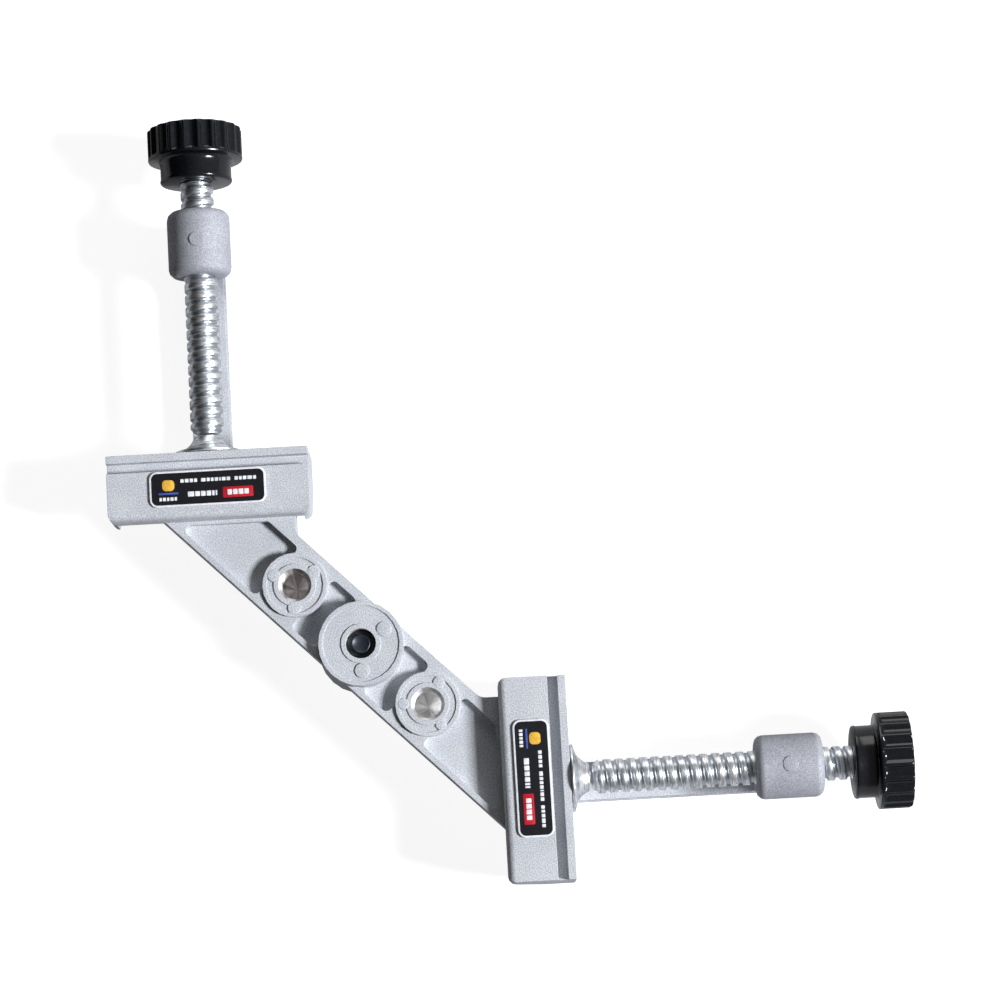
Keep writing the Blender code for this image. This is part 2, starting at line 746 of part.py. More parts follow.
def knob(name, axis, parts, tools, material):
    """The moulded knob: a fluted rim and a plain hub, pushed on the screw's spigot."""
    rim_start = KNOB_START + HUB_LENGTH
    bore = SPIGOT_RADIUS + SEAT_GAP
    bore_top = KNOB_START + SPIGOT_LENGTH
    profile = [
        (0, KNOB_END - KNOB_DISH),
        (KNOB_DISH_RADIUS - KNOB_DISH, KNOB_END - KNOB_DISH),
        (KNOB_DISH_RADIUS, KNOB_END),
    ]
    rim_corner = (RIM_RADIUS - RIM_ROUND, KNOB_END - RIM_ROUND)
    profile += arc_points(rim_corner, RIM_ROUND, 90, 0, RIM_STEPS)
    profile += [
        (RIM_RADIUS, rim_start + RIM_CHAMFER),
        (RIM_RADIUS - RIM_CHAMFER, rim_start),
        (HUB_RADIUS + RIM_ROUND, rim_start),
        (HUB_RADIUS, rim_start - RIM_ROUND),
        (HUB_RADIUS, KNOB_START + RIM_ROUND),
        (HUB_RADIUS - RIM_ROUND, KNOB_START),
        (bore, KNOB_START),
        (bore, bore_top),
        (0, bore_top),
    ]
    grip = turned(name, profile, KNOB_STEPS, axis, parts)
    shape_with(grip, flute_cutters(name + "_flutes", axis, tools), "DIFFERENCE", tools)
    smooth_round_faces(grip)
    grip.data.materials.append(material)
    return grip


def badge(name, centre, turn, parts, material):
    """A thin plate with round corners, stuck on the jaw block."""
    half_length = BADGE_LENGTH / 2
    half_width = BADGE_WIDTH / 2
    corners = [
        (-half_length, -half_width),
        (half_length, -half_width),
        (half_length, half_width),
        (-half_length, half_width),
    ]
    height = JAW_TOP + SEAT_GAP + BADGE_THICKNESS / 2
    place = Matrix.Translation(MIDDLE + Vector((centre[0], centre[1], height)))
    plate = extruded(
        name,
        rounded_outline(corners, [BADGE_CORNER] * 4),
        BADGE_THICKNESS,
        place @ Matrix.Rotation(math.radians(turn), 4, "Z"),
        parts,
    )
    plate.data.materials.append(material)
    return plate


def centre_plug(parts, material):
    """The plug in the middle boss, with a dished button on its flat ring."""
    bottom = MIDDLE_BOSS_TOP - PLUG_BORE_DEPTH + SEAT_GAP
    top = bottom + PLUG_HEIGHT
    ring = top - PLUG_BUTTON_HEIGHT
    radius = PLUG_BORE_RADIUS - SEAT_GAP
    dish_edge = PLUG_BUTTON_RADIUS - PLUG_BUTTON_EDGE
    dish_radius = (dish_edge**2 + PLUG_DISH**2) / (2 * PLUG_DISH)
    dish_centre = (0, top - PLUG_DISH + dish_radius)
    last = math.degrees(math.asin(dish_edge / dish_radius)) - 90
    profile = arc_points(dish_centre, dish_radius, -90, last, DISH_STEPS)
    profile += [
        (PLUG_BUTTON_RADIUS, top - PLUG_BUTTON_EDGE),
        (PLUG_BUTTON_RADIUS, ring),
        (radius, ring),
        (radius, bottom),
        (0, bottom),
    ]
    plug = turned("centre_plug", profile, BOSS_STEPS, Matrix.Translation(MIDDLE), parts)
    smooth_round_faces(plug)
    plug.data.materials.append(material)
    return plug


def build():
    """Make every piece of the clamp."""
    clear_scene()
    parts = new_collection("corner_clamp")
    tools = new_collection("cutters_and_blanks")
    cast = new_material("cast_aluminium", (0.62, 0.64, 0.67), 0.45, 0.8)
    zinc = new_material("zinc_plated_steel", (0.75, 0.77, 0.8), 0.25, 1.0)
    plastic = new_material("black_knob_plastic", (0.012, 0.012, 0.014), 0.2, 0.0)
    enamel = new_material("badge_black", (0.01, 0.01, 0.012), 0.3, 0.0)
    rubber = new_material("plug_black", (0.015, 0.016, 0.018), 0.35, 0.0)
    frame_casting(parts, tools, cast)
    centre_plug(parts, rubber)
    for letter, axis in (("x", AXIS_X), ("y", AXIS_Y)):
        clamp_screw("clamp_screw_" + letter, axis, parts, tools, zinc)
        swivel_pad("swivel_pad_" + letter, axis, parts, zinc)
        knob("knob_" + letter, axis, parts, tools, plastic)
    badge_reach = JAW_BACK + BADGE_INSET + BADGE_WIDTH / 2
    badge("badge_x", (badge_reach, -AXIS_OFFSET), 90, parts, enamel)
    badge("badge_y", (-AXIS_OFFSET, badge_reach), 0, parts, enamel)


build()
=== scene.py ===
# %% [markdown]
# # A right-angle tube clamp in its studio
# The clamp's solids come from its CAD source and are loaded as a fixed frame. This lesson
# gives them their looks. Rolled threads, turned pads, fluted knobs, the plug and the printed
# badges are modelled afresh, and the casting gets its blasted skin. Blender may open with
# objects of its own, so those go first.
# %% Load the clamp
import json
import math

import bmesh
import bpy
from mathutils import Matrix, Vector

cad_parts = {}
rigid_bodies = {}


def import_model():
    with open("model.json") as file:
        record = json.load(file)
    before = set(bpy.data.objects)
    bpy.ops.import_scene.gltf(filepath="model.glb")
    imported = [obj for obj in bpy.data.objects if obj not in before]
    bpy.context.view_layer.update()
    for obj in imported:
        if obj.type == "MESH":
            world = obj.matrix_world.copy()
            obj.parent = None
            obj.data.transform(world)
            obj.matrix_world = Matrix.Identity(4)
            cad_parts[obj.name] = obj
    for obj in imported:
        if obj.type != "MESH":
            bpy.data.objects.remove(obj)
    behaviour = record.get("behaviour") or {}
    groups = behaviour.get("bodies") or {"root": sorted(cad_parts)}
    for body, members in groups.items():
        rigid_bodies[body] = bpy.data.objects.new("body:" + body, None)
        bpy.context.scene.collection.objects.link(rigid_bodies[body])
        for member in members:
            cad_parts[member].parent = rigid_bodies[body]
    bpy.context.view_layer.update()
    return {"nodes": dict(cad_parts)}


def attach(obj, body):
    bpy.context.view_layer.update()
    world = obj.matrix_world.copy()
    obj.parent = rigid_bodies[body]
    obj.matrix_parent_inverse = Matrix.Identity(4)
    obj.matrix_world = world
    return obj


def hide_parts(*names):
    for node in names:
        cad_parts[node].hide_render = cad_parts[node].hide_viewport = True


for leftover in list(bpy.data.objects):
    bpy.data.objects.remove(leftover, do_unlink=True)

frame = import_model()
MM = 0.001

# %% [markdown]
# ## Where things are
# Each clamp is described in its own terms, as a fitter would: "reach" is the distance outwards
# from the middle boss along the screw. A matrix for each screw's axis turns that upright
# description into its place on the casting. One description then serves both clamps, and
# because each matrix is a pure rotation, both threads stay right-handed.
# %% Axes and levels, in millimetres
BOSS_PLACE = Vector((-61, -61, 0))
AXIS_OFFSET = 60
AXIS_HEIGHT = 38
BARREL_RADIUS = 13.3
to_metres = Matrix.Scale(MM, 4)
axis_places = {
    "x": to_metres
    @ Matrix.Translation(BOSS_PLACE + Vector((0, -AXIS_OFFSET, AXIS_HEIGHT)))
    @ Matrix.Rotation(math.radians(90), 4, "Y"),
    "y": to_metres
    @ Matrix.Translation(BOSS_PLACE + Vector((-AXIS_OFFSET, 0, AXIS_HEIGHT)))
    @ Matrix.Rotation(math.radians(-90), 4, "X"),
}
for letter, place in axis_places.items():
    print("clamp", letter, "axis starts at", [round(v / MM, 1) for v in place.translation])

# %% [markdown]
# ## Helpers for shapes
# Nearly every piece of a clamp is turned on a lathe, so `turned` draws half an outline and spins
# it round, and `arc` rounds the outline's corners. A stack of cylinders would do too, but it has
# no rounded edges, and rounded edges are what catch the light.
# %% Turn an outline
def turned(outline, steps=64):
    """Spin (radius, height) points, listed from the top down the outside, round the Z axis."""
    shape = bmesh.new()
    points = [shape.verts.new((radius, 0, height)) for radius, height in outline]
    edges = [shape.edges.new(pair) for pair in zip(points, points[1:])]
    bmesh.ops.spin(
        shape,
        geom=points + edges,
        cent=(0, 0, 0),
        axis=(0, 0, 1),
        angle=math.tau,
        steps=steps,
        use_merge=True,
    )
    bmesh.ops.remove_doubles(shape, verts=shape.verts, dist=0.001)
    bmesh.ops.recalc_face_normals(shape, faces=shape.faces)
    return shape


def arc(centre_radius, centre_height, radius, first, last, steps=6):
    """Points of a rounded corner, between two angles in degrees."""
    points = []
    for step in range(steps + 1):
        angle = math.radians(first + (last - first) * step / steps)
        across = centre_radius + radius * math.cos(angle)
        points.append((across, centre_height + radius * math.sin(angle)))
    return points


corner = arc(0, 0, 1, 90, 0, 2)
print("a corner of radius 1:", [(round(x, 2), round(y, 2)) for x, y in corner])


# %% [markdown]
# Two more helpers finish a piece. `join_shape` adds one shape to another, for things that are
# one bar or one plate on the real clamp. `add_piece` puts the shape in its place, shades it
# smooth except across its sharp edges, and lets it ride on the part of the clamp that moves it.
# %% Join shapes, and hand over a finished piece
SMOOTH_UP_TO = math.radians(38)


def join_shape(shape, extra):
    """Add all of an extra shape to a shape, and free the extra one."""
    carrier = bpy.data.meshes.new("carrier")
    extra.to_mesh(carrier)
    extra.free()
    shape.from_mesh(carrier)
    bpy.data.meshes.remove(carrier)


def add_piece(name, shape, place, body, materials, replaces=()):
    """Make an object of a shape in millimetres, put it in its place and let it ride."""
    bmesh.ops.transform(shape, matrix=place, verts=shape.verts)
    mesh = bpy.data.meshes.new(name)
    shape.to_mesh(mesh)
    shape.free()
    mesh.shade_smooth()
    mesh.set_sharp_from_angle(angle=SMOOTH_UP_TO)
    for material in materials:
        mesh.materials.append(material)
    piece = bpy.data.objects.new(name, mesh)
    bpy.context.scene.collection.objects.link(piece)
    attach(piece, body)
    if replaces:
        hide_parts(*replaces)
    print(name, "has", len(mesh.polygons), "faces and rides on", body)
    return piece


print("edges sharper than", round(math.degrees(SMOOTH_UP_TO)), "degrees stay crisp")

# %% [markdown]
# ## Helpers for finishes
# A finish is a small network of nodes. Colours are written as hex values, the way paint charts
# give them, and one function turns them into the linear light that the renderer works in.
# `add_node` adds any kind of node, with its options and its inputs, so a network reads as a list.
# %% Colours and nodes
def linear(colour):
    """Linear RGBA from a hex colour."""
    channels = []
    for start in (1, 3, 5):
        value = int(colour[start:start + 2], 16) / 255
        channels.append(value / 12.92 if value <= 0.04045 else ((value + 0.055) / 1.055) ** 2.4)
    return (*channels, 1)


def add_node(tree, kind, inputs=None, **options):
    """Add a node with its options; inputs are values, or outputs of other nodes."""
    node = tree.nodes.new(kind)
    for option, value in options.items():
        setattr(node, option, value)
    for key, value in (inputs or {}).items():
        if isinstance(value, bpy.types.NodeSocket):
            tree.links.new(value, node.inputs[key])
        else:
            node.inputs[key].default_value = value
    return node


def new_finish(name, **settings):
    """A material, its tree and its shader, with the shader's plain settings."""
    material = bpy.data.materials.new(name)
    material.use_nodes = True
    tree = material.node_tree
    shader = tree.nodes["Principled BSDF"]
    for key, value in settings.items():
        shader.inputs[key.replace("_", " ")].default_value = value
    return material, tree, shader


print("a middle grey, #808080, is", round(linear("#808080")[0], 3), "in linear light")

# %% [markdown]
# Three more helpers make the patterns. `noise` gives blotches of a real size in millimetres,
# `blend_colours` turns them into colours, and `between` turns them into a plain value, such as
# a roughness.
# %% Patterns
def blend_colours(tree, factor, first, second, low=0.0, high=1.0):
    """A ramp between two hex colours, as a factor goes from low to high."""
    ramp = add_node(tree, "ShaderNodeValToRGB", {"Fac": factor})
    ramp.color_ramp.elements[0].position = low
    ramp.color_ramp.elements[0].color = linear(first)
    ramp.color_ramp.elements[1].position = high
    ramp.color_ramp.elements[1].color = linear(second)
    return ramp.outputs["Color"]


def noise(tree, spot, size, detail=2.0):
    """Noise whose blotches are a real size across, in millimetres."""
    settings = {"Vector": spot, "Scale": 1 / (size * MM), "Detail": detail}
    return add_node(tree, "ShaderNodeTexNoise", settings).outputs["Fac"]


def between(tree, factor, low, high):
    """Turn a factor from 0 to 1 into a value from low to high."""
    settings = {"Value": factor, "To Min": low, "To Max": high}
    return add_node(tree, "ShaderNodeMapRange", settings).outputs["Result"]


print("blotches of 0.5 mm need a noise scale of", round(1 / (0.5 * MM)))

# %% [markdown]
# ## The casting's skin
# The frame is die-cast aluminium that was blasted with fine shot. It is still metal, but the
# dents of the shot, a few tenths of a millimetre wide, scatter the light into a soft grey with a
# sparkling grain. An image of sand could be wrapped round it, but noise needs no seams. It
# is drawn a little coarser than the real grain, or it would vanish at this distance. Towards the
# far ends of the barrels the colour turns a shade greyer. The Bevel node rounds
# every edge in the shading, as the die and the shot do.
# %% Shot-blasted cast aluminium
FADE_START, FADE_END = 88, 99
cast_finish, tree, shader = new_finish("shot_blasted_cast_aluminium", Metallic=0.25)
spot = add_node(tree, "ShaderNodeTexCoord").outputs["Object"]
grain = noise(tree, spot, 0.5)
grain_tone = blend_colours(tree, grain, "#B6BABF", "#DEE0E3", 0.4, 0.6)
cloud_tone = blend_colours(tree, noise(tree, spot, 14, 3.0), "#F4F4F6", "#FFFFFF", 0.35, 0.65)
skin_tone = add_node(
    tree, "ShaderNodeMix", {0: 1.0, 6: grain_tone, 7: cloud_tone},
    data_type="RGBA", blend_type="MULTIPLY",
).outputs[2]
sides = add_node(tree, "ShaderNodeSeparateXYZ", {"Vector": spot}).outputs
farthest = add_node(
    tree, "ShaderNodeMath", {0: sides["X"], 1: sides["Y"]}, operation="MAXIMUM"
).outputs[0]
# the colour turns a shade greyer past 88 mm along X or Y, on the barrels at the far ends
end_tone = blend_colours(tree, farthest, "#FFFFFF", "#DDDCE0", FADE_START * MM, FADE_END * MM)
whole_tone = add_node(
    tree, "ShaderNodeMix", {0: 1.0, 6: skin_tone, 7: end_tone},
    data_type="RGBA", blend_type="MULTIPLY",
).outputs[2]
tree.links.new(whole_tone, shader.inputs["Base Color"])
tree.links.new(between(tree, grain, 0.78, 0.66), shader.inputs["Roughness"])
rounded = add_node(tree, "ShaderNodeBevel", {"Radius": 0.35 * MM}, samples=6).outputs["Normal"]
dents = add_node(
    tree,
    "ShaderNodeBump",
    {"Height": grain, "Strength": 0.7, "Distance": 0.08 * MM, "Normal": rounded},
)
tree.links.new(dents.outputs["Normal"], shader.inputs["Normal"])
print("cast skin:", len(tree.nodes), "nodes")

# %% [markdown]
# ## Machined bores
# The sockets in the small bosses were drilled after casting, so their walls and the cone at the
# bottom are bare, bright aluminium. A drill leaves fine rings round its centre, and they stretch
# every reflection across them. The rings are far too fine to draw, but anisotropy does what they
# do once it is told which way to stretch: up the wall, or down the cone. Paler and darker sectors
# are painted into the colour as painted reflections, and the paler ones are a little rougher. All
# of it is measured from the bore's own centre.
# %% Drilled aluminium, with a sheen round a centre
SECTOR_SCALE = 1.9
CHATTER = 0.1


def drilled_finish(name, centre, darker, paler, roughness):
    """Bright bare aluminium with a sheen round a centre, and sectors of painted reflection."""
    material, tree, shader = new_finish(name, Metallic=1.0, Anisotropic=0.7)
    spot = add_node(tree, "ShaderNodeTexCoord").outputs["Object"]
    facing = add_node(tree, "ShaderNodeNewGeometry").outputs["Normal"]
    outwards = add_node(
        tree, "ShaderNodeMapping", {"Vector": spot, "Location": -centre * MM, "Scale": (1, 1, 0)}
    ).outputs["Vector"]
    around = add_node(
        tree, "ShaderNodeVectorMath", {0: (0, 0, 1), 1: outwards}, operation="CROSS_PRODUCT"
    ).outputs["Vector"]
    stretch = add_node(
        tree, "ShaderNodeVectorMath", {0: facing, 1: around}, operation="CROSS_PRODUCT"
    ).outputs["Vector"]
    tree.links.new(stretch, shader.inputs["Tangent"])
    unit = add_node(
        tree, "ShaderNodeVectorMath", {0: outwards}, operation="NORMALIZE"
    ).outputs["Vector"]
    sectors = add_node(
        tree, "ShaderNodeTexNoise",
        {"Vector": unit, "W": centre.x, "Scale": SECTOR_SCALE, "Detail": 1.0},
        noise_dimensions="4D",
    ).outputs["Fac"]
    # painted reflection: the sectors make the colour paler and darker round the bore
    tone = blend_colours(tree, sectors, darker, paler, 0.42, 0.56)
    tree.links.new(tone, shader.inputs["Base Color"])
    sheen = between(tree, sectors, roughness, roughness + CHATTER)
    tree.links.new(sheen, shader.inputs["Roughness"])
    return material


print("the roughness of a bore varies by", CHATTER)

# %% [markdown]
# The arm has three bosses in a line, so there are three bores. A finish that knows its own centre
# can't be shared, so each bore gets a material of its own, with two tones and a roughness. The
# tones are painted light: each bore is painted paler or darker for how it catches the lamps.
# %% A finish for each bore
BOSS_SPACING = 37.2
aside = BOSS_SPACING / math.sqrt(2)
boss_centres = {
    "near_y": BOSS_PLACE + Vector((-aside, aside, 0)),
    "middle": BOSS_PLACE.copy(),
    "near_x": BOSS_PLACE + Vector((aside, -aside, 0)),
}
# painted light: each bore's two tones are lighter or darker to stand in for its reflections
bore_looks = {
    "near_y": ("#ADA8A6", "#F0ECEA", 0.48),
    "middle": ("#A9A5A2", "#E4E2E0", 0.42),
    "near_x": ("#E6E4E2", "#FFFFFF", 0.44),
}
drilled = {}
for key, (darker, paler, roughness) in bore_looks.items():
    drilled[key] = drilled_finish("drilled_" + key, boss_centres[key], darker, paler, roughness)
print("drilled finishes:", sorted(drilled))

# %% [markdown]
# ## The casting
# The frame's solid has the right shape, but a CAD file stores it as loose flat triangles, so
# each round boss would show its facets. A copy with its points merged can be shaded smooth, with
# the edges kept crisp. The copy leaves the file's stored flat shading behind first. Rebuilding
# the whole casting by hand would bring nothing that the eye could tell.
# %% Merge the points of a copy
plain_copy = frame["nodes"]["frame_casting"].data.copy()
for stored in ("custom_normal", "sharp_edge", "sharp_face"):
    if stored in plain_copy.attributes:
        plain_copy.attributes.remove(plain_copy.attributes[stored])
shape = bmesh.new()
shape.from_mesh(plain_copy)
bpy.data.meshes.remove(plain_copy)
bmesh.ops.remove_doubles(shape, verts=shape.verts, dist=0.002 * MM)
bmesh.ops.dissolve_limit(
    shape, angle_limit=math.radians(0.2), verts=shape.verts, edges=shape.edges
)
bmesh.ops.triangulate(shape, faces=[face for face in shape.faces if len(face.verts) > 4])
print("the casting has", len(shape.verts), "points once they are merged")

# %% [markdown]
# The step in each socket is sloped a little, as a countersink leaves it, so that it flashes on
# one side. It could be cut anew, but it is enough to move one ring of its points up. The faces
# inside each bore are found by their place and get the drilled finish. All the others keep the
# blasted one.
# %% Slope the steps, and finish the bores
SOCKET_REACH = 7.1
BORE_FLOOR, BORE_TOP = 24, 45.9
PLATEAU_LEVEL = 42
SOCKET_STEP, SOCKET_RADIUS, SOCKET_SLOPE = 39.5, 6.9, 0.75
for point in shape.verts:
    for key in ("near_y", "near_x"):
        place = point.co / MM - boss_centres[key]
        on_step = abs(place.z - SOCKET_STEP) < 0.01
        if on_step and abs(place.to_2d().length - SOCKET_RADIUS) < 0.1:
            point.co.z += SOCKET_SLOPE * MM
finishes = [cast_finish] + list(drilled.values())
bore_faces = 0
for face in shape.faces:
    middle = face.calc_center_median() / MM
    for index, centre in enumerate(boss_centres.values()):
        away = (middle - centre).to_2d().length
        on_plateau = face.normal.z > 0.99 and middle.z > PLATEAU_LEVEL
        if away < SOCKET_REACH and BORE_FLOOR < middle.z < BORE_TOP and not on_plateau:
            face.material_index = index + 1
            bore_faces += 1
casting = add_piece(
    "casting", shape, Matrix.Identity(4), "frame", finishes, ["frame_casting"]
)
steadied = casting.modifiers.new("flat_faces_stay_flat", "WEIGHTED_NORMAL")
steadied.keep_sharp = True
print("faces in the bores:", bore_faces)

# %% [markdown]
# ## Ejector marks
# Pins push a casting out of its die, and each leaves a round mark. On this clamp they stand a
# little proud: two or three on each boss, and one on each barrel. They could be painted on with
# a bump, but a real disc also shows at a low angle. Each one is a turned disc with a soft edge.
# %% Discs on the bosses and barrels
MARK_SINK = 0.55
MARK_RISE = 0.14
MARK_EDGE = 0.25
LOWER_ON_BOSSES = 0.03
marks = bmesh.new()


def add_mark(radius, rise, sink, place):
    """Add one disc to the marks, with its soft edge at a height above a surface."""
    corner = arc(radius - MARK_EDGE, rise - MARK_EDGE, MARK_EDGE, 90, 0, 4)
    disc = turned([(0, rise)] + corner + [(radius, -sink), (0, -sink)], 40)
    bmesh.ops.transform(disc, matrix=place, verts=disc.verts)
    join_shape(marks, disc)


boss_marks = {
    "near_y": (42.5, 9.6, 2.75, (32, -94, 152)),
    "middle": (46.0, 11.3, 3.1, (29, -90)),
    "near_x": (42.5, 10.1, 2.35, (60, 177, -60)),
}
for key, (top, away, radius, angles) in boss_marks.items():
    for angle in angles:
        turn = Matrix.Rotation(math.radians(angle), 4, "Z")
        level = Vector((0, 0, top - LOWER_ON_BOSSES))
        spoke = Matrix.Translation(boss_centres[key] + level) @ turn
        add_mark(radius, MARK_RISE, MARK_SINK, spoke @ Matrix.Translation((away, 0, 0)))
BARREL_MARK = 3.2
BARREL_MARK_REACH = 173.8
BARREL_TOP = AXIS_HEIGHT + BARREL_RADIUS
for seat in (
    Vector((BARREL_MARK_REACH, -AXIS_OFFSET, BARREL_TOP)),
    Vector((-AXIS_OFFSET, BARREL_MARK_REACH, BARREL_TOP)),
):
    add_mark(BARREL_MARK, MARK_RISE, MARK_SINK, Matrix.Translation(BOSS_PLACE + seat))
add_piece("ejector_marks", marks, to_metres, "frame", [cast_finish])

# %% [markdown]
# ## Zinc plating
# The screws and pads are steel with bright zinc on it: a cool, mirror-like grey with cloudy
# patches. Between the threads the colour is painted darker, as painted shade in the roots. A
# dark line drawn on would slide over the crests, so each point of the thread carries a number
# that says how deep it lies, and the finish reads that number. A second number is the reach
# along the axis. Noise that changes fast with it makes the fine streaks that rolling and turning
# leave round the metal.
# %% Bright zinc-plated steel
STREAK_LENGTH, STREAK_WIDTH = 4.2, 0.7
zinc_finish, tree, shader = new_finish(
    "bright_zinc_plated_steel", Metallic=1.0, Coat_Weight=0.4, Coat_Roughness=0.15
)
spot = add_node(tree, "ShaderNodeTexCoord").outputs["Object"]
clouds = noise(tree, spot, 1.3, 4.0)
tree.links.new(between(tree, clouds, 0.46, 0.28), shader.inputs["Roughness"])
reach = add_node(tree, "ShaderNodeAttribute", attribute_name="reach").outputs["Fac"]
stretched = add_node(
    tree, "ShaderNodeMath", {0: reach, 1: STREAK_LENGTH / STREAK_WIDTH}, operation="MULTIPLY"
).outputs[0]
streaks = add_node(
    tree, "ShaderNodeTexNoise",
    {"Vector": spot, "W": stretched, "Scale": 1 / (STREAK_LENGTH * MM), "Detail": 3.0},
    noise_dimensions="4D",
).outputs["Fac"]
# painted shade: the deeper a point lies between the threads, the darker grey its colour
depth = add_node(tree, "ShaderNodeAttribute", attribute_name="depth").outputs["Fac"]
bright = blend_colours(tree, streaks, "#BCC4CB", "#FDFEFF", 0.4, 0.56)
tone = add_node(
    tree, "ShaderNodeMix", {0: depth, 6: bright, 7: linear("#BFC5CB")}, data_type="RGBA"
).outputs[2]
tree.links.new(tone, shader.inputs["Base Color"])
ripple = add_node(
    tree, "ShaderNodeBump", {"Height": streaks, "Strength": 0.9, "Distance": 0.26 * MM}
)
tree.links.new(ripple.outputs["Normal"], shader.inputs["Normal"])
print("zinc:", len(tree.nodes), "nodes")

# %% [markdown]
# ## The threaded spindles
# A coarse thread like this is rolled: hard dies press the grooves into a round bar, which leaves
# smooth, slightly rounded crests. One pitch of the outline is spun upwards turn after turn, and
# each turn's end is merged with the next turn's start. The Screw modifier does much the same,
# but here the ends can be cut and chamfered straight away. Reach is the height here.
# %% Wind the thread
PITCH = 5
CREST, ROOT = 7.0, 5.9
THREAD_START, THREAD_END = 93.0, 200.1
STEPS_A_TURN = 48
END_RADIUS = 5.3
one_pitch = [
    (ROOT, 0.45), (ROOT, -0.45), (5.97, -0.62), (6.8, -1.02), (6.94, -1.14), (CREST, -1.35),
    (CREST, -2.5), (CREST, -3.65), (6.94, -3.86), (6.8, -3.98), (5.97, -4.38), (ROOT, -4.55),
]


def wound_thread():
    """The outline spun into a right-hand helix, cut to length and chamfered."""
    first = math.floor(THREAD_START / PITCH) - 1
    turns = math.ceil(THREAD_END / PITCH) - first + 1
    shape = bmesh.new()
    points = [shape.verts.new((radius, 0, up + first * PITCH)) for radius, up in one_pitch]
    edges = [shape.edges.new(pair) for pair in zip(points, points[1:])]
    bmesh.ops.spin(
        shape,
        geom=points + edges,
        cent=(0, 0, 0),
        axis=(0, 0, 1),
        dvec=(0, 0, PITCH / STEPS_A_TURN),
        angle=math.tau * turns,
        steps=STEPS_A_TURN * turns,
    )
    bmesh.ops.remove_doubles(shape, verts=shape.verts, dist=0.005)
    for height, outwards in ((THREAD_START, -1), (THREAD_END, 1)):
        bmesh.ops.bisect_plane(
            shape,
            geom=shape.verts[:] + shape.edges[:] + shape.faces[:],
            plane_co=(0, 0, height),
            plane_no=(0, 0, outwards),
            clear_outer=True,
            dist=0.001,
        )
    bmesh.ops.holes_fill(shape, edges=[edge for edge in shape.edges if edge.is_boundary])
    bmesh.ops.recalc_face_normals(shape, faces=shape.faces)
    for point in shape.verts:
        across = point.co.to_2d().length
        allowed = END_RADIUS + point.co.z - THREAD_START
        if across > allowed:
            point.co.xy *= allowed / across
    return shape


print("the thread takes", round((THREAD_END - THREAD_START) / PITCH, 1), "turns")

# %% [markdown]
# ## Ball, neck and spigot
# The thread's inner end is turned down to a neck and a ball, which the pad swivels on, and its
# outer end to a plain spigot for the knob. One more turned outline makes all of it. It goes in
# the same piece as the thread, because on the real clamp they are one bar. Last, each point
# gets the two numbers that the zinc reads, its depth in the thread and its reach.
# %% Finish both spindles
BALL_CENTRE = 88.6
rod_outline = [(0, 214.1), (4.7, 214.1), (5, 213.8), (5, 199.4), (4.6, 199.4), (4.6, 92.5)]
rod_outline += [(2.5, 91.95)] + arc(0, BALL_CENTRE, 3.4, 42.5, -90, 10)


def store_reach(shape):
    """Give each point of an upright shape its reach in metres, for the streaks."""
    layer = shape.verts.layers.float.new("reach")
    for point in shape.verts:
        point[layer] = point.co.z * MM


for letter, place in axis_places.items():
    shape = wound_thread()
    join_shape(shape, turned(rod_outline, 48))
    # each point's depth between the threads drives the painted shade in the roots
    depth_of = shape.verts.layers.float.new("depth")
    for point in shape.verts:
        if point.co.z > THREAD_START:
            across = point.co.to_2d().length
            point[depth_of] = min(max((CREST - across) / (CREST - ROOT), 0), 1) ** 2
    store_reach(shape)
    add_piece(
        "spindle_" + letter, shape, place, "screw_" + letter,
        [zinc_finish], ["clamp_screw_" + letter],
    )

# %% [markdown]
# ## Swivel pads
# Each pad is turned from steel: a flat disc that flares up like a trumpet's bell to a neck,
# which is closed in over the ball. The hollow for the ball is part of the outline, so the pad
# is a real shell from every side.
# %% Turn both pads
pad_outline = arc(0, BALL_CENTRE, 3.7, -90, 38.4, 12)
pad_outline += [(2.9, 91.2), (3.1, 91.4), (5.5, 91.4), (5.8, 91.15), (6.0, 90.6), (6.4, 89.7)]
pad_outline += [(7.2, 88.5), (8.3, 87.3), (9.5, 86.4), (11.0, 85.75), (12.6, 85.3)]
pad_outline += [(13.5, 85.08), (13.9, 84.9), (14, 84.7), (14, 84.2), (13.85, 83.9)]
pad_outline += [(13.5, 83.8), (0, 83.8)]
for letter, place in axis_places.items():
    shape = turned(pad_outline, 72)
    store_reach(shape)
    add_piece(
        "pad_" + letter, shape, place, "pad_" + letter,
        [zinc_finish], ["swivel_pad_" + letter],
    )

# %% [markdown]
# ## Gloss-moulded plastic
# The knobs are moulded from a hard black plastic in a polished tool, so they shine like
# lacquer. The skin still isn't perfect: it dips very slightly where the thick parts shrank, and
# that bends its highlights. A wide, weak bump gives those dips, and fine dust dulls it a little.
# %% Black phenolic plastic
knob_finish, tree, shader = new_finish("gloss_black_phenolic", IOR=1.5, Metallic=0.0)
spot = add_node(tree, "ShaderNodeTexCoord").outputs["Object"]
dust = noise(tree, spot, 1.2, 4.0)
tree.links.new(
    blend_colours(tree, dust, "#0C0E12", "#15181D", 0.45, 0.8), shader.inputs["Base Color"]
)
tree.links.new(between(tree, dust, 0.12, 0.24), shader.inputs["Roughness"])
dips = add_node(
    tree,
    "ShaderNodeBump",
    {"Height": noise(tree, spot, 7, 1.0), "Strength": 0.5, "Distance": 0.15 * MM},
)
tree.links.new(dips.outputs["Normal"], shader.inputs["Normal"])
print("knob plastic:", len(tree.nodes), "nodes")

